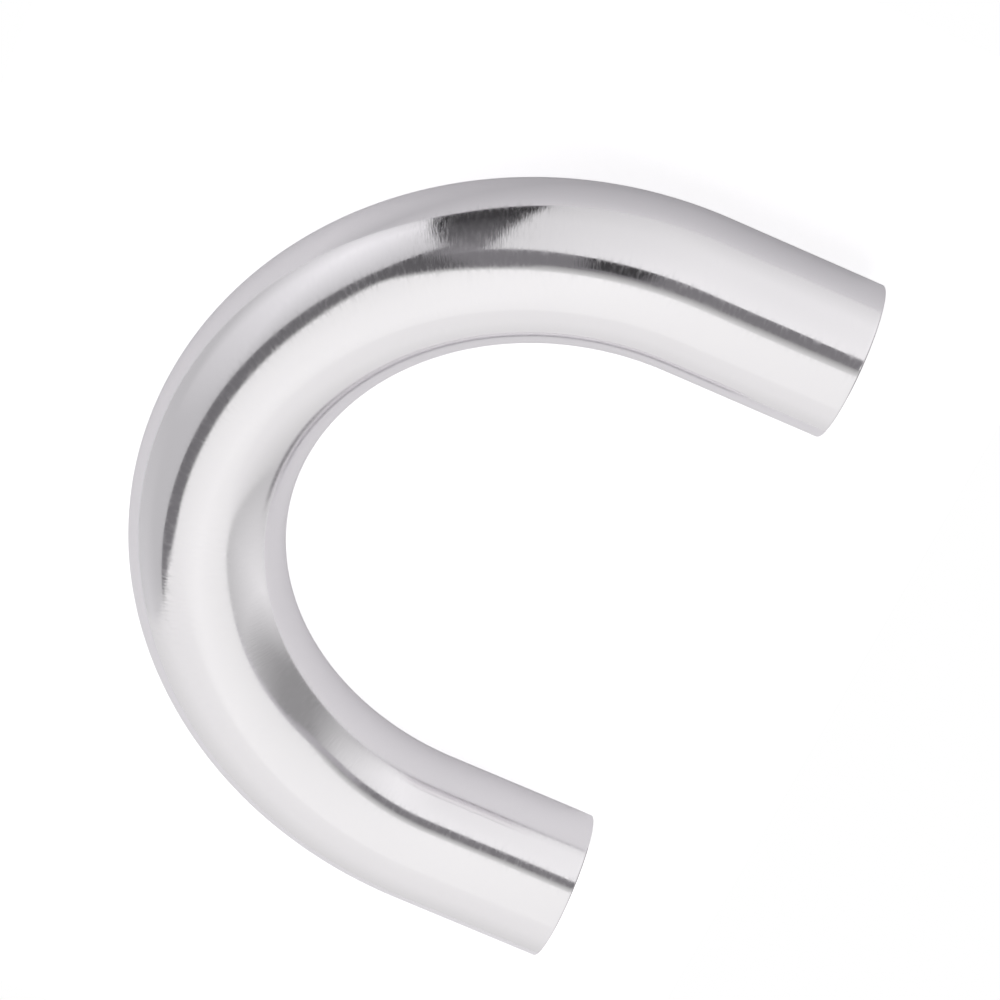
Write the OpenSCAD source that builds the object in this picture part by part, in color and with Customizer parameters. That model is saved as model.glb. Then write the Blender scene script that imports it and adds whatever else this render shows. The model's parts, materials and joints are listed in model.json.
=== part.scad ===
// Return bend: one thin-walled tube bent through a half turn, with a straight leg at each end.
// The tube lies on its side. +Z is up, square to the plane of the bend, and Z = 0 is the surface
// that it rests on. +X points out of the open ends. The inlet leg is at +Y and the outlet leg at -Y.
// The origin is the middle of the tube's footprint. All sizes are in millimetres.

/* [Tube] */
// Outside diameter of the tube
tube_d = 57.15; // [25:0.05:110]
// Wall thickness of the tube
wall = 2; // [1:0.1:5]

/* [Bend] */
// Radius of the bend, measured to the middle of the tube
bend_r = 127; // [60:0.5:300]

/* [Legs] */
// Straight length of each leg, from the end of the bend to the cut
leg_length = 58; // [10:0.5:300]

/* [Cut ends] */
// Chamfer that deburrs the outside edge of each cut end
outer_chamfer = 0.5; // [0.1:0.05:1.2]
// Chamfer that deburrs the bore edge of each cut end
bore_chamfer = 0.4; // [0.1:0.05:1.2]

/* [Hidden] */
$fn = 128;
tube_r = tube_d / 2;
bore_r = tube_r - wall;
half_turn = 180;
// Half way between the cut ends and the back of the bend
middle_x = (leg_length - bend_r - tube_r) / 2;

// Section through the wall of a straight leg, from the bend out to its deburred cut end.
// The first number is the distance from the leg's axis and the second the distance along it.
module leg_wall_section() {
    polygon([
        [bore_r, 0],
        [tube_r, 0],
        [tube_r, leg_length - outer_chamfer],
        [tube_r - outer_chamfer, leg_length],
        [bore_r + bore_chamfer, leg_length],
        [bore_r, leg_length - bore_chamfer],
    ]);
}

// Straight leg along +X, from the plane where the bend ends
module leg() {
    rotate([0, 90, 0])
        rotate_extrude()
            leg_wall_section();
}

// Ring of metal that is swept round the bend
module tube_section() {
    difference() {
        circle(r = tube_r);
        circle(r = bore_r);
    }
}

// Half turn about the Z axis on the -X side, from the inlet leg round to the outlet leg
module bend() {
    rotate([0, 0, half_turn / 2])
        rotate_extrude(angle = half_turn)
            translate([bend_r, 0])
                tube_section();
}

// The whole tube, in one piece, with its centreline in the plane Z = 0
module bent_tube() {
    bend();
    for (side = [1, -1])
        translate([0, side * bend_r, 0]) leg();
}

// The tube as it rests on a flat surface
module return_bend() {
    color("gainsboro")
        translate([-middle_x, 0, tube_r])
            bent_tube();
}

return_bend();
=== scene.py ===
"""Return bend: a polished aluminium tube bent through a half turn, lying in a small light tent.

The tube is one piece. It is modelled with its bore and its deburred cut ends, and it stands for the
CAD node of the same name. All sizes are in metres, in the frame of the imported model.
"""

import json
import logging
import math
from dataclasses import dataclass
from enum import Enum
from typing import Any, Optional, Sequence, Union

import bmesh
import bpy
from mathutils import Euler, Matrix, Vector


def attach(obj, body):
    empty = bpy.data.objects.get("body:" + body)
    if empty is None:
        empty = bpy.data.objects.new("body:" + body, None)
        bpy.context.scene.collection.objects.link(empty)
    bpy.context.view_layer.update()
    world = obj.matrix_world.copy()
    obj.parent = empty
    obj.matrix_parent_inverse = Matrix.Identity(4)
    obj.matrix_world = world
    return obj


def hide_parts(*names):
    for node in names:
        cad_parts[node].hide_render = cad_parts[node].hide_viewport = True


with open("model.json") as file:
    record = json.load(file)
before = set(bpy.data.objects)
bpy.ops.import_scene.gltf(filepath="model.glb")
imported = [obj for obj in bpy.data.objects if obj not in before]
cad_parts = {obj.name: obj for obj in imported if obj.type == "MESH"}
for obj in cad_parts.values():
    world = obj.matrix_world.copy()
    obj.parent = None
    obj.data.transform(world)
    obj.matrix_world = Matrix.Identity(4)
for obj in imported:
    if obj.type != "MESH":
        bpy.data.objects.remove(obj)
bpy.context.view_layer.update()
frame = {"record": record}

logging.basicConfig(level=logging.INFO, format="%(name)s: %(message)s")
log = logging.getLogger("return_bend")

PLACE = "tube_place"  # attribute: distance along the tube, then the cosine and sine of the angle round it
GLOW = "glow"  # attribute: how bright the tent's cloth is
MM_IN_METRE = 1000.0
NOISE_MIDDLE = 0.5
Colour = tuple[float, float, float]
Pitch = tuple[float, float]
Spot = tuple[float, float, float, "Light"]
Ring = list[bmesh.types.BMEdge]
BLACK: Colour = (0.0, 0.0, 0.0)
WHITE: Colour = (1.0, 1.0, 1.0)


class Skin(Enum):
    """The tube's kinds of surface, in the order of its material slots."""

    OUTSIDE = 0
    BORE = 1
    CUT_END = 2


class Light(Enum):
    """How bright a piece of the tent's cloth is, as a share of plain white."""

    FULL = 1.0
    BRIGHT = 0.95
    PALE = 0.85
    SOFT = 0.7
    DIM = 0.55
    SHADE = 0.3
    DUSK = 0.2
    DARK = 0.1
    BLACKOUT = 0.05


class Wire:
    """An output socket of a shader node. Arithmetic on wires adds Math nodes."""

    def __init__(self, bench: "NodeBench", socket: bpy.types.NodeSocket) -> None:
        """Keeps the socket and the bench that it belongs to."""
        self.bench = bench
        self.socket = socket

    def _maths(self, operation: str, first: "Operand", second: "Operand") -> "Wire":
        """Adds one Math node.

        Args:
            operation: the Math node's operation.
            first: the first input.
            second: the second input.

        Returns:
            The node's output.
        """
        return self.bench.node("ShaderNodeMath", {"operation": operation}, {0: first, 1: second})

    def __add__(self, other: "Operand") -> "Wire":
        """Sum of the two."""
        return self._maths("ADD", self, other)

    def __radd__(self, other: "Operand") -> "Wire":
        """Sum of the two."""
        return self._maths("ADD", other, self)

    def __sub__(self, other: "Operand") -> "Wire":
        """This less the other."""
        return self._maths("SUBTRACT", self, other)

    def __rsub__(self, other: "Operand") -> "Wire":
        """The other less this."""
        return self._maths("SUBTRACT", other, self)

    def __mul__(self, other: "Operand") -> "Wire":
        """Product of the two."""
        return self._maths("MULTIPLY", self, other)

    def __rmul__(self, other: "Operand") -> "Wire":
        """Product of the two."""
        return self._maths("MULTIPLY", other, self)


Operand = Union[Wire, float]


class NodeBench:
    """Where the nodes of one material, or of the world, are laid out."""

    def __init__(self, tree: bpy.types.NodeTree) -> None:
        """Clears the tree that the nodes go into."""
        self.tree = tree
        tree.nodes.clear()

    def node(
        self,
        kind: str,
        settings: Optional[dict[str, Any]] = None,
        sockets: Optional[dict[Union[str, int], Any]] = None,
        out: Union[str, int] = 0,
    ) -> Optional[Wire]:
        """Adds one node.

        Args:
            kind: the node's type.
            settings: the node's own settings, which are set first.
            sockets: values or wires for the input sockets, by name or number.
            out: the output to return, by name or number.

        Returns:
            The chosen output, or None where the node has no outputs.
        """
        made = self.tree.nodes.new(kind)
        for key, value in (settings or {}).items():
            setattr(made, key, value)
        for key, value in (sockets or {}).items():
            if isinstance(value, Wire):
                self.tree.links.new(value.socket, made.inputs[key])
            else:
                made.inputs[key].default_value = value
        return Wire(self, made.outputs[out]) if made.outputs else None

    def place(self, pitch: Pitch) -> Wire:
        """Position on the tube for a pattern that follows it.

        Args:
            pitch: pattern units in a metre along the tube, and in the tube's radius across its section.

        Returns:
            The scaled position.
        """
        along, across = pitch
        where = self.node("ShaderNodeAttribute", {"attribute_name": PLACE}, out="Vector")
        scale = {"operation": "MULTIPLY"}
        return self.node("ShaderNodeVectorMath", scale, {0: where, 1: (along, across, across)})

    def noise(self, where: Wire, layers: float, strength: float = 0.5) -> Wire:
        """Noise from 0 to 1.

        Args:
            where: the position that it is read at.
            layers: how many finer layers it has.
            strength: how strong those layers are.

        Returns:
            The noise.
        """
        sockets = {"Vector": where, "Scale": 1.0, "Detail": layers, "Roughness": strength}
        return self.node("ShaderNodeTexNoise", None, sockets)

    def tint(self, first: Colour, second: Colour, share: Wire) -> Wire:
        """Mixes two colours.

        Args:
            first: the colour at a share of 0.
            second: the colour at a share of 1.
            share: the share.

        Returns:
            The mixed colour.
        """
        mix = {"data_type": "RGBA"}
        return self.node("ShaderNodeMix", mix, {"Factor": share, 6: (*first, 1.0), 7: (*second, 1.0)}, out=2)

    def relief(self, height: Wire, depth: float, under: Optional[Wire] = None) -> Wire:
        """Fine relief on a surface.

        Args:
            height: the pattern, from 0 to 1.
            depth: how deep the pattern is.
            under: relief that this one lies on, if any.

        Returns:
            The surface's normal.
        """
        sockets = {"Strength": 1.0, "Distance": depth, "Height": height}
        if under is not None:
            sockets["Normal"] = under
        return self.node("ShaderNodeBump", None, sockets)

    def metal(self, colour: Wire, metallic: float, rough: Wire, normal: Wire) -> None:
        """Adds the shader of a metal and leads it to the material's output.

        Args:
            colour: the metal's colour.
            metallic: 1 for bare metal, less under a dull skin.
            rough: its roughness.
            normal: its relief.
        """
        sockets = {"Base Color": colour, "Metallic": metallic, "Roughness": rough, "Normal": normal}
        shader = self.node("ShaderNodeBsdfPrincipled", None, sockets)
        self.node("ShaderNodeOutputMaterial", None, {"Surface": shader})


def fresh_material(name: str) -> tuple[bpy.types.Material, NodeBench]:
    """Makes an empty node material.

    Args:
        name: the material's name.

    Returns:
        The material and the bench for its nodes.
    """
    material = bpy.data.materials.new(name)
    material.use_nodes = True
    return material, NodeBench(material.node_tree)


def fresh_object(name: str, bm: bmesh.types.BMesh) -> bpy.types.Object:
    """Turns a finished bmesh into an object at the origin.

    Args:
        name: the name of the object and of its mesh.
        bm: the mesh, which is freed.

    Returns:
        The object.
    """
    mesh = bpy.data.meshes.new(name)
    bm.to_mesh(mesh)
    bm.free()
    made = bpy.data.objects.new(name, mesh)
    bpy.context.scene.collection.objects.link(made)
    return made


@dataclass(frozen=True)
class BuffedAluminium:
    """Buffed outside: bright, with fine lines round the tube where the wheel passed and an uneven haze."""

    name: str = "buffed_aluminium"
    bright: Colour = (0.935, 0.921, 0.935)
    dull: Colour = (0.893, 0.879, 0.896)
    roughness: float = 0.115
    haze: float = 0.06
    haze_pitch: Pitch = (28.0, 1.1)
    haze_in_colour: float = 0.6
    mottle: float = 0.3
    mottle_pitch: Pitch = (1100.0, 9.0)
    line_depth: float = 1.3e-5
    line_pitch: Pitch = (2000.0, 6.0)
    line_in_colour: float = 0.4
    wave_depth: float = 1.5e-4
    wave_pitch: Pitch = (22.0, 1.0)
    wave_layers: float = 1.0
    fine_layers: float = 2.0
    fine_strength: float = 0.6

    def material(self) -> bpy.types.Material:
        """Builds the finish.

        Returns:
            The material.
        """
        made, bench = fresh_material(self.name)
        lines = bench.noise(bench.place(self.line_pitch), self.fine_layers, self.fine_strength)
        mottling = bench.noise(bench.place(self.mottle_pitch), self.fine_layers, self.fine_strength)
        patches = bench.noise(bench.place(self.haze_pitch), self.fine_layers)
        waves = bench.noise(bench.place(self.wave_pitch), self.wave_layers)
        brightness = patches * self.haze_in_colour + lines * self.line_in_colour
        hazed = self.roughness + (patches - NOISE_MIDDLE) * self.haze
        rough = hazed + (mottling - NOISE_MIDDLE) * self.mottle
        relief = bench.relief(waves, self.wave_depth, under=bench.relief(lines, self.line_depth))
        bench.metal(bench.tint(self.dull, self.bright, brightness), 1.0, rough, relief)
        return made


@dataclass(frozen=True)
class DrawnBore:
    """Inside as it was drawn: a dull grey skin on the metal, with die lines that run along the tube."""

    name: str = "drawn_bore"
    bright: Colour = (0.80, 0.80, 0.81)
    dull: Colour = (0.66, 0.66, 0.67)
    metallic: float = 0.5
    roughness: float = 0.36
    patch: float = 0.14
    patch_pitch: Pitch = (40.0, 1.5)
    patch_in_colour: float = 0.5
    line_depth: float = 2.2e-5
    line_pitch: Pitch = (9.0, 60.0)
    line_in_colour: float = 0.5
    fine_layers: float = 3.0
    fine_strength: float = 0.6

    def material(self) -> bpy.types.Material:
        """Builds the finish.

        Returns:
            The material.
        """
        made, bench = fresh_material(self.name)
        lines = bench.noise(bench.place(self.line_pitch), self.fine_layers, self.fine_strength)
        patches = bench.noise(bench.place(self.patch_pitch), self.fine_layers)
        brightness = patches * self.patch_in_colour + lines * self.line_in_colour
        rough = self.roughness + (patches - NOISE_MIDDLE) * self.patch
        relief = bench.relief(lines, self.line_depth)
        bench.metal(bench.tint(self.dull, self.bright, brightness), self.metallic, rough, relief)
        return made


@dataclass(frozen=True)
class SawnEnd:
    """Cut end, sawn square and lightly faced: satin, with the saw's straight lines across it."""

    name: str = "sawn_end"
    bright: Colour = (0.88, 0.88, 0.885)
    dull: Colour = (0.74, 0.74, 0.75)
    roughness: float = 0.28
    streak: float = 0.2
    line_depth: float = 8.0e-6
    line_scale: tuple[float, float, float] = (1.0, 60.0, 2600.0)
    saw_turn_deg: float = 24.0
    fine_layers: float = 3.0
    fine_strength: float = 0.6

    def material(self) -> bpy.types.Material:
        """Builds the finish.

        Returns:
            The material.
        """
        made, bench = fresh_material(self.name)
        where = bench.node("ShaderNodeTexCoord", out="Object")
        turn = (math.radians(self.saw_turn_deg), 0.0, 0.0)
        sockets = {"Vector": where, "Rotation": turn, "Scale": self.line_scale}
        turned = bench.node("ShaderNodeMapping", None, sockets)
        lines = bench.noise(turned, self.fine_layers, self.fine_strength)
        rough = self.roughness + (lines - NOISE_MIDDLE) * self.streak
        relief = bench.relief(lines, self.line_depth)
        bench.metal(bench.tint(self.dull, self.bright, lines), 1.0, rough, relief)
        return made


@dataclass
class BentTube:
    """The return bend itself: outer skin, bore and cut ends, in one closed shell."""

    tube_r: float
    bend_r: float
    leg_length: float
    wall: float = 0.002
    outer_deburr: float = 0.0005
    bore_deburr: float = 0.0004
    deburr_steps: int = 3
    sides: int = 160
    skin_steps: int = 200
    bore_steps: int = 100
    end_steps: tuple[float, ...] = (0.0015, 0.004)
    leg_steps: int = 4
    weld: float = 1e-5
    node: str = "return_bend"

    @classmethod
    def from_record(cls, record: dict[str, Any]) -> "BentTube":
        """Takes the tube's sizes from the mounts on its inlet leg.

        Args:
            record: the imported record.

        Returns:
            The tube.
        """
        mounts = {mount["name"]: mount for mount in record["mounts"]}
        spigot = mounts["inlet_spigot"]
        spigot_x, bend_r, _ = spigot["pos_m"]
        leg_start = spigot_x - spigot["dims"]["length_mm"] / MM_IN_METRE / 2
        leg_end = mounts["inlet_face"]["pos_m"][0]
        return cls(spigot["dims"]["r_mm"] / MM_IN_METRE, bend_r, leg_end - leg_start)

    @property
    def bore_r(self) -> float:
        """Radius of the bore."""
        return self.tube_r - self.wall

    @property
    def centre(self) -> Vector:
        """Middle of the bend, at the height of the tube's centreline."""
        return Vector((-(self.leg_length - self.bend_r - self.tube_r) / 2, 0.0, self.tube_r))

    def _extrude(self, bm: bmesh.types.BMesh, ring: Ring) -> tuple[Ring, list[bmesh.types.BMVert]]:
        """Extrudes a ring without moving it.

        Args:
            bm: the mesh.
            ring: the open edges to extrude.

        Returns:
            The new ring's edges and vertices.
        """
        made = bmesh.ops.extrude_edge_only(bm, edges=ring)["geom"]
        verts = [item for item in made if isinstance(item, bmesh.types.BMVert)]
        edges = [item for item in made if isinstance(item, bmesh.types.BMEdge)]
        new = set(verts)
        return [edge for edge in edges if new.issuperset(edge.verts)], verts

    def _turn_in(self, bm: bmesh.types.BMesh, ring: Ring, middle: Vector, scale: float) -> Ring:
        """Extrudes a ring in its own plane, to make a cut end.

        Args:
            bm: the mesh.
            ring: the open edges to extrude.
            middle: the ring's middle.
            scale: the new ring's radius, as a share of the old one's.

        Returns:
            The new ring's edges.
        """
        ring, verts = self._extrude(bm, ring)
        bmesh.ops.scale(bm, verts=verts, vec=(scale, scale, scale), space=Matrix.Translation(-middle))
        return ring

    def _stretch(self, bm: bmesh.types.BMesh, ring: Ring, steps: Sequence[float]) -> Ring:
        """Extrudes a ring along a leg.

        Args:
            bm: the mesh.
            ring: the open edges to extrude.
            steps: how far each step goes along +X.

        Returns:
            The last ring's edges.
        """
        for step in steps:
            ring, verts = self._extrude(bm, ring)
            bmesh.ops.translate(bm, verts=verts, vec=(step, 0.0, 0.0))
        return ring

    def _sweep(self, bm: bmesh.types.BMesh, ring: Ring, angle: float, steps: int) -> Ring:
        """Sweeps a ring down one leg, round the bend and up the other leg.

        Args:
            bm: the mesh.
            ring: the open edges at one cut end.
            angle: the half turn, positive from the inlet to the outlet.
            steps: how many steps the bend has.

        Returns:
            The edges at the other cut end.
        """
        rest = (self.leg_length - sum(self.end_steps)) / self.leg_steps
        lengths = [*self.end_steps, *[rest] * self.leg_steps]
        ring = self._stretch(bm, ring, [-length for length in lengths])
        spun = bmesh.ops.spin(
            bm,
            geom=ring,
            cent=self.centre,
            axis=(0.0, 0.0, 1.0),
            angle=angle,
            steps=steps,
            use_merge=False,
            use_duplicate=False,
        )
        ring = [item for item in spun["geom_last"] if isinstance(item, bmesh.types.BMEdge)]
        return self._stretch(bm, ring, lengths[::-1])

    def _mark_skin(self, bm: bmesh.types.BMesh, done: set[bmesh.types.BMFace], kind: Skin) -> None:
        """Notes the kind of the faces that are new.

        Args:
            bm: the mesh.
            done: the faces marked so far, to which the new ones are added.
            kind: what the new faces are.
        """
        for face in set(bm.faces) - done:
            face.material_index = kind.value
            done.add(face)

    def _shell(self, bm: bmesh.types.BMesh) -> None:
        """Sweeps the outside, turns it in at the outlet, sweeps the bore back and closes it at the inlet.

        Args:
            bm: the mesh.
        """
        inlet = self.centre + Vector((self.leg_length, self.bend_r, 0.0))
        outlet = self.centre + Vector((self.leg_length, -self.bend_r, 0.0))
        share = self.bore_r / self.tube_r
        stand = Matrix.Translation(inlet) @ Matrix.Rotation(math.pi / 2, 4, "Y")
        circle = bmesh.ops.create_circle(
            bm, cap_ends=False, segments=self.sides, radius=self.tube_r, matrix=stand
        )
        ring = list(dict.fromkeys(edge for vert in circle["verts"] for edge in vert.link_edges))
        done: set[bmesh.types.BMFace] = set()
        ring = self._sweep(bm, ring, math.pi, self.skin_steps)
        self._mark_skin(bm, done, Skin.OUTSIDE)
        ring = self._turn_in(bm, ring, outlet, share)
        self._mark_skin(bm, done, Skin.CUT_END)
        ring = self._sweep(bm, ring, -math.pi, self.bore_steps)
        self._mark_skin(bm, done, Skin.BORE)
        self._turn_in(bm, ring, inlet, 1.0 / share)
        self._mark_skin(bm, done, Skin.CUT_END)
        bmesh.ops.remove_doubles(bm, verts=bm.verts, dist=self.weld)
        bmesh.ops.recalc_face_normals(bm, faces=bm.faces)

    def _deburr(self, bm: bmesh.types.BMesh, kind: Skin, size: float) -> None:
        """Rounds the edges where a skin meets the cut ends.

        Args:
            bm: the mesh.
            kind: the skin.
            size: how far the rounding reaches.
        """
        pair = {kind.value, Skin.CUT_END.value}
        edges = [edge for edge in bm.edges if {face.material_index for face in edge.link_faces} == pair]
        bmesh.ops.bevel(
            bm,
            geom=edges,
            offset=size,
            offset_type="OFFSET",
            segments=self.deburr_steps,
            profile=0.5,
            affect="EDGES",
            material=-1,
            clamp_overlap=True,
        )

    def _mark_places(self, bm: bmesh.types.BMesh) -> None:
        """Notes each vertex's distance along the tube and its angle round it, for the finishes.

        Args:
            bm: the mesh.
        """
        layer = bm.verts.layers.float_vector.new(PLACE)
        for vert in bm.verts:
            x, y, z = vert.co - self.centre
            if x >= 0.0:
                along = -x if y > 0.0 else math.pi * self.bend_r + x
                out = abs(y) - self.bend_r
            else:
                along = ((math.atan2(y, x) % math.tau) - math.pi / 2) * self.bend_r
                out = math.hypot(x, y) - self.bend_r
            reach = math.hypot(out, z)
            vert[layer] = Vector((along, out / reach, z / reach))

    def build(self) -> bpy.types.Object:
        """Models the tube.

        Returns:
            The tube's object, at the origin.
        """
        bm = bmesh.new()
        self._shell(bm)
        self._deburr(bm, Skin.OUTSIDE, self.outer_deburr)
        self._deburr(bm, Skin.BORE, self.bore_deburr)
        self._mark_places(bm)
        for face in bm.faces:
            face.smooth = True
        return fresh_object("bent_tube", bm)

    def dress(self, piece: bpy.types.Object) -> None:
        """Gives each surface its finish and ties the piece to the frame.

        Args:
            piece: the tube's object.
        """
        for finish in (BuffedAluminium(), DrawnBore(), SawnEnd()):
            piece.data.materials.append(finish.material())
        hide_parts(self.node)
        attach(piece, "root")


@dataclass(frozen=True)
class Panel:
    """One piece of cloth. Each of its corners has a place and how bright the cloth is there."""

    corners: Sequence[Spot]
    tint: Colour = WHITE

    def hang(self, bm: bmesh.types.BMesh) -> None:
        """Adds the panel to the tent's mesh.

        Args:
            bm: the mesh.
        """
        layer = bm.verts.layers.float_color[GLOW]
        verts = []
        for x, y, z, glow in self.corners:
            vert = bm.verts.new((x, y, z))
            vert[layer] = (*(glow.value * part for part in self.tint), 1.0)
            verts.append(vert)
        bm.faces.new(verts)


@dataclass(frozen=True)
class Post:
    """A post of a cloth wall, with how bright the cloth is at its foot, its waist and its top.

    A post that leans has its top that much further along X than its foot.
    """

    x: float
    y: float
    top: float
    glow: tuple[Light, Light, Light]
    lean: float = 0.0


@dataclass(frozen=True)
class Wall:
    """Cloth hung on a row of posts. The waist is a share of the way up each post."""

    foot: float
    waist: float
    posts: tuple[Post, ...]
    tint: Colour = WHITE

    def _up(self, post: Post) -> list[Spot]:
        """Foot, waist and top of a post, with how bright the cloth is there.

        Args:
            post: the post.

        Returns:
            The three spots.
        """
        foot = Vector((post.x, post.y, self.foot))
        top = Vector((post.x + post.lean, post.y, post.top))
        heights = (foot, foot.lerp(top, self.waist), top)
        return [(*height, glow) for height, glow in zip(heights, post.glow)]

    def panels(self) -> list[Panel]:
        """Cuts the cloth at its posts and its waist.

        Returns:
            Two panels for each pair of neighbouring posts.
        """
        made = []
        for one, two in zip(self.posts, self.posts[1:]):
            near, far = self._up(one), self._up(two)
            for low in range(len(near) - 1):
                made.append(Panel((near[low], near[low + 1], far[low + 1], far[low]), self.tint))
        return made


@dataclass(frozen=True)
class LightTent:
    """White cloth round the tube, brightest overhead. Dark drapes hang behind the gaps in it."""

    roof_z: float = 0.7
    roof_turn_deg: float = 7.0
    roof_x: tuple[float, float, float] = (-0.5, 0.0, 0.65)
    roof_y: tuple[float, float] = (-0.55, 0.25)
    front_cut: float = 0.05
    hem: float = 0.05
    wide_hem: float = 0.1
    wide_hem_from: float = -0.15
    roof_tint: Colour = (1.0, 0.995, 0.992)
    front_tint: Colour = (1.0, 0.992, 1.0)
    left_tint: Colour = (1.0, 0.99, 1.01)
    back_tint: Colour = (1.0, 0.992, 0.993)
    drape_tint: Colour = (1.01, 0.98, 1.03)

    def _roof_spot(self, along: float, across: float, glow: Light) -> Spot:
        """Spot on the roof.

        Args:
            along: distance along the roof's own X.
            across: distance along the roof's own Y.
            glow: how bright the cloth is there.

        Returns:
            The spot.
        """
        turn = Matrix.Rotation(math.radians(self.roof_turn_deg), 3, "Z")
        return (*(turn @ Vector((along, across, self.roof_z))), glow)

    def roof(self) -> list[Panel]:
        """The roof, which is brightest along its middle, and its thinner hems at the front and on the left.

        Returns:
            The roof's panels.
        """
        left, middle, right = self.roof_x
        back, front = self.roof_y
        step = self.wide_hem_from
        edge = left - self.hem
        slim, wide, cut = front + self.hem, front + self.wide_hem, front - self.front_cut
        full, bright, pale, soft = Light.FULL, Light.BRIGHT, Light.PALE, Light.SOFT
        shade, dusk, dark = Light.SHADE, Light.DUSK, Light.DARK
        pieces = (
            # left and right half
            ((left, back, pale), (middle, back, bright), (middle, front, full), (left, front, pale)),
            ((middle, back, bright), (right, back, pale), (right, cut, pale), (middle, front, full)),
            # hem on the left, and at the corner
            ((edge, back, dark), (left, back, soft), (left, front, soft), (edge, front, dark)),
            ((edge, front, dark), (left, front, soft), (left, slim, dusk), (edge, slim, dark)),
            # hem at the front, from left to right
            ((left, front, soft), (step, front, soft), (step, slim, dusk), (left, slim, dusk)),
            ((step, front, soft), (middle, front, soft), (middle, wide, shade), (step, wide, shade)),
            ((middle, front, soft), (right, cut, soft), (right, wide, shade), (middle, wide, shade)),
        )
        return [Panel([self._roof_spot(*corner) for corner in piece], self.roof_tint) for piece in pieces]

    def walls(self) -> list[Panel]:
        """The cloth walls: round the front and right, on the left, and far back.

        Returns:
            The walls' panels.
        """
        bright, pale, soft, dim, shade = Light.BRIGHT, Light.PALE, Light.SOFT, Light.DIM, Light.SHADE
        front = Wall(foot=-0.4, waist=0.45, tint=self.front_tint, posts=(
            Post(-0.2, 0.6, 0.7, (dim, soft, soft), lean=-0.3),
            Post(0.1, 0.6, 0.7, (dim, pale, bright)),
            Post(0.3, 0.6, 0.7, (dim, bright, bright)),
            Post(0.6, 0.5, 0.6, (dim, dim, soft)),
            Post(0.6, 0.3, 0.5, (shade, shade, shade)),
            Post(0.5, 0.1, 0.5, (shade, shade, shade)),
            Post(0.5, -0.1, 0.5, (soft, pale, dim)),
            Post(0.5, -0.4, 0.6, (dim, dim, dim)),
        ))
        left = Wall(foot=-1.3, waist=0.45, tint=self.left_tint, posts=(
            Post(-2.0, 1.6, 1.6, (dim, pale, dim)),
            Post(-2.0, 0.8, 1.7, (dim, bright, dim)),
            Post(-2.0, -1.0, 1.7, (dim, dim, dim)),
            Post(-2.0, -3.8, 1.8, (dim, soft, dim)),
        ))
        back = Wall(foot=-0.8, waist=0.25, tint=self.back_tint, posts=(
            Post(-1.4, -2.4, 7.0, (soft, pale, bright)),
            Post(1.5, -2.4, 7.0, (soft, pale, bright)),
            Post(4.5, -2.4, 7.0, (dim, dim, pale)),
        ))
        return front.panels() + left.panels() + back.panels()

    def drapes(self) -> list[Panel]:
        """Dark drapes behind the gaps, and the dark camera at the front.

        Returns:
            The drapes' panels.
        """
        dim, shade, dusk, dark, blackout = Light.DIM, Light.SHADE, Light.DUSK, Light.DARK, Light.BLACKOUT
        behind_left_corner = Wall(foot=-0.9, waist=0.2, tint=self.drape_tint, posts=(
            Post(-0.5, 2.6, 3.4, (blackout, blackout, shade)),
            Post(-2.9, 1.5, 3.4, (blackout, blackout, shade)),
        ))
        behind_camera = (
            (-2.6, 1.5, 2.6, dusk), (-0.5, 0.3, 3.3, dusk),
            (0.4, 0.2, 3.3, dusk), (2.0, 2.6, 1.9, dusk),
        )
        behind_left_seam = (
            (-2.9, 2.0, 0.9, dark), (-0.9, 0.6, 3.6, dark),
            (-0.9, -2.0, 3.6, dusk), (-2.4, -4.9, 0.9, dusk),
        )
        behind_right = (
            (1.6, -0.6, -0.8, dim), (1.6, -0.6, 3.0, dim),
            (1.6, 2.9, 3.0, shade), (1.6, 2.9, -0.8, shade),
        )
        camera = (
            (-0.2, 0.6, 1.25, blackout), (0.0, 0.6, 1.25, blackout),
            (0.0, 0.9, 1.1, blackout), (-0.3, 0.9, 1.1, blackout),
        )
        flat = (behind_camera, behind_left_seam, behind_right, camera)
        return behind_left_corner.panels() + [Panel(corners, self.drape_tint) for corners in flat]

    def _cloth(self) -> bpy.types.Material:
        """Cloth that shines as brightly as each panel says.

        Returns:
            The material.
        """
        made, bench = fresh_material("tent_cloth")
        glow = bench.node("ShaderNodeAttribute", {"attribute_name": GLOW}, out="Color")
        shine = bench.node("ShaderNodeEmission", None, {"Color": glow, "Strength": 1.0})
        bench.node("ShaderNodeOutputMaterial", None, {"Surface": shine})
        return made

    def pitch(self) -> bpy.types.Object:
        """Hangs the panels, and sets a plain white room round them.

        Returns:
            The tent's object.
        """
        bm = bmesh.new()
        bm.verts.layers.float_color.new(GLOW)
        for panel in self.roof() + self.walls() + self.drapes():
            panel.hang(bm)
        tent = fresh_object("light_tent", bm)
        tent.data.materials.append(self._cloth())
        tent.visible_camera = False
        room = bpy.data.worlds.new("white_room")
        room.use_nodes = True
        bpy.context.scene.world = room
        bench = NodeBench(room.node_tree)
        white = bench.node("ShaderNodeBackground", None, {"Color": (*WHITE, 1.0), "Strength": 1.0})
        bench.node("ShaderNodeOutputWorld", None, {"Surface": white})
        return tent


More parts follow.
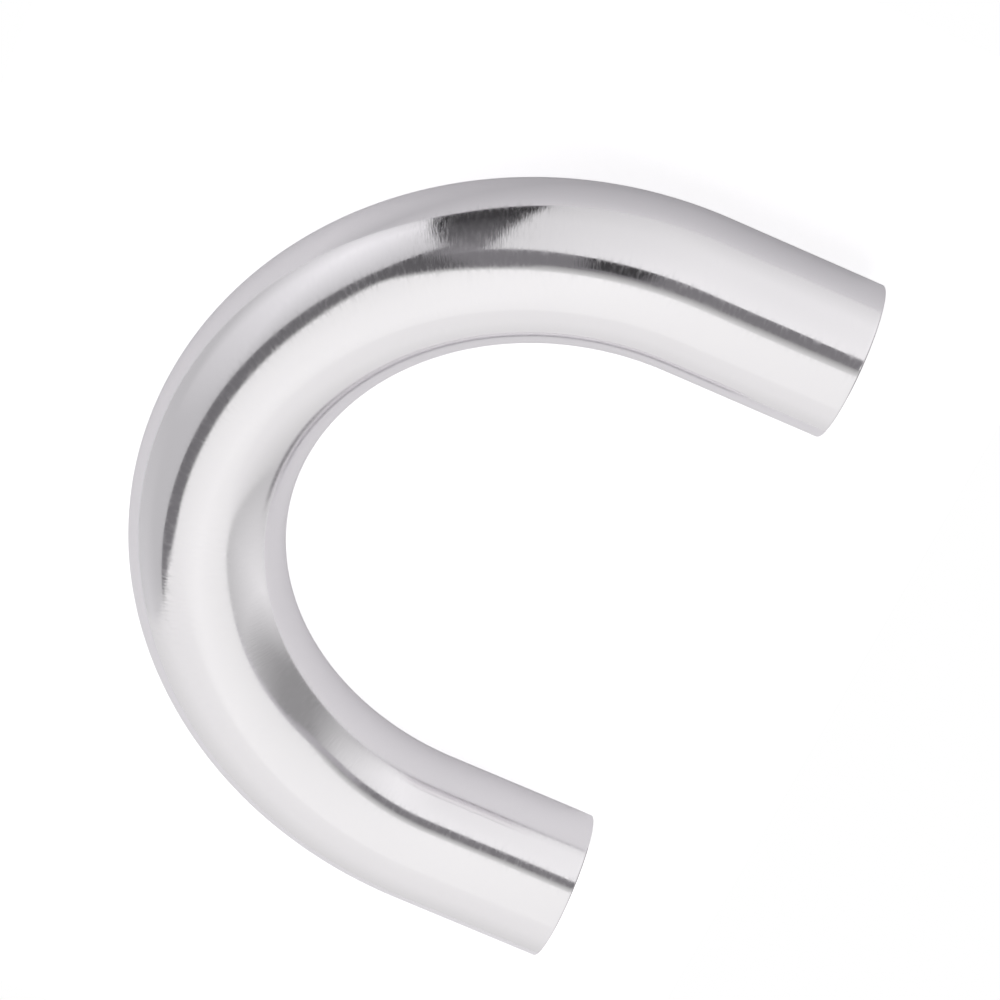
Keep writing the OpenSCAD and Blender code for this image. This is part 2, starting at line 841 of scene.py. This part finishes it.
@dataclass(frozen=True)
class PaleFloor:
    """Pale sheet that the tube lies on. It keeps the tube's shadow, has a painted shadow beside the tube on
    the camera's side, and lifts to white for the camera.
    """

    near: tuple[float, float] = (-0.20, -0.30)
    far: tuple[float, float] = (0.17, 0.24)
    round_off: float = 0.05
    round_steps: int = 8
    pale: Colour = (0.94, 0.93, 0.95)
    # Painted shadow: the grey the paper takes beside the tube, and the band along Y where it is painted
    # (start, greyest, end).
    painted_shadow_grey: Colour = (0.68, 0.672, 0.692)
    painted_shadow_y: tuple[float, float, float] = (0.10, 0.15, 0.26)
    lift: float = 0.66
    lift_in_metal: float = 0.075

    def _paper(self) -> bpy.types.Material:
        """Matt paper with a painted shadow, greyest close to the tube on the camera's side.

        Returns:
            The material.
        """
        made, bench = fresh_material("pale_floor")
        where = bench.node("ShaderNodeTexCoord", out="Object")
        across = bench.node("ShaderNodeSeparateXYZ", None, {"Vector": where}, out="Y")
        start, greyest, end = self.painted_shadow_y
        ramp = "ShaderNodeMapRange"
        rise = bench.node(ramp, None, {"Value": across, "From Min": start, "From Max": greyest})
        fall = bench.node(ramp, None, {"Value": across, "From Min": end, "From Max": greyest})
        seen = bench.node("ShaderNodeLightPath", out="Is Camera Ray")
        mirrored = bench.node("ShaderNodeLightPath", out="Is Glossy Ray")
        through = bench.node("ShaderNodeLightPath", out="Is Transmission Ray")
        lift = self.lift * seen + self.lift_in_metal * (mirrored + through)
        sockets = {
            # Painted shadow: the paper's colour greys in a band along Y beside the tube on the camera's
            # side.
            "Base Color": bench.tint(self.pale, self.painted_shadow_grey, rise * fall),
            "Roughness": 1.0,
            "Specular IOR Level": 0.0,
            "Emission Color": bench.tint(BLACK, WHITE, lift),
            "Emission Strength": 1.0,
        }
        paper = bench.node("ShaderNodeBsdfPrincipled", None, sockets)
        bench.node("ShaderNodeOutputMaterial", None, {"Surface": paper})
        return made

    def lay(self) -> bpy.types.Object:
        """Makes the sheet.

        Returns:
            The sheet's object.
        """
        bm = bmesh.new()
        half_metre = 0.5
        verts = bmesh.ops.create_grid(bm, x_segments=1, y_segments=1, size=half_metre)["verts"]
        (x0, y0), (x1, y1) = self.near, self.far
        bmesh.ops.scale(bm, verts=verts, vec=(x1 - x0, y1 - y0, 1.0))
        bmesh.ops.translate(bm, verts=verts, vec=((x0 + x1) / 2, (y0 + y1) / 2, 0.0))
        bmesh.ops.bevel(
            bm,
            geom=verts,
            offset=self.round_off,
            offset_type="OFFSET",
            segments=self.round_steps,
            profile=0.5,
            affect="VERTICES",
            material=-1,
        )
        floor = fresh_object("pale_floor", bm)
        floor.data.materials.append(self._paper())
        return floor


@dataclass(frozen=True)
class StudioCamera:
    """Camera at the photograph's viewing angle."""

    location: tuple[float, float, float] = (-0.1183, 0.7557, 1.2255)
    turn_deg: tuple[float, float, float] = (-31.25, 7.446, 22.655)
    lens_mm: float = 142.26
    sensor_mm: float = 36.0

    def place(self) -> bpy.types.Object:
        """Makes the camera and looks through it.

        Returns:
            The camera's object.
        """
        data = bpy.data.cameras.new("camera")
        data.lens = self.lens_mm
        data.sensor_width = self.sensor_mm
        camera = bpy.data.objects.new("camera", data)
        camera.location = self.location
        camera.rotation_euler = Euler([math.radians(angle) for angle in self.turn_deg], "XYZ")
        bpy.context.scene.collection.objects.link(camera)
        bpy.context.scene.camera = camera
        return camera


def main() -> None:
    """Builds the tube and the studio, in order."""
    camera = StudioCamera().place()
    log.info("%s: lens of %.0f mm", camera.name, camera.data.lens)
    tube = BentTube.from_record(frame["record"])
    piece = tube.build()
    tube.dress(piece)
    log.info("%s: %d faces, for node %s", piece.name, len(piece.data.polygons), tube.node)
    tent = LightTent().pitch()
    log.info("%s: %d panels", tent.name, len(tent.data.polygons))
    floor = PaleFloor().lay()
    log.info("%s: %d corners", floor.name, len(floor.data.vertices))
    bpy.context.scene.view_settings.view_transform = "Standard"


if __name__ == "__main__":
    main()
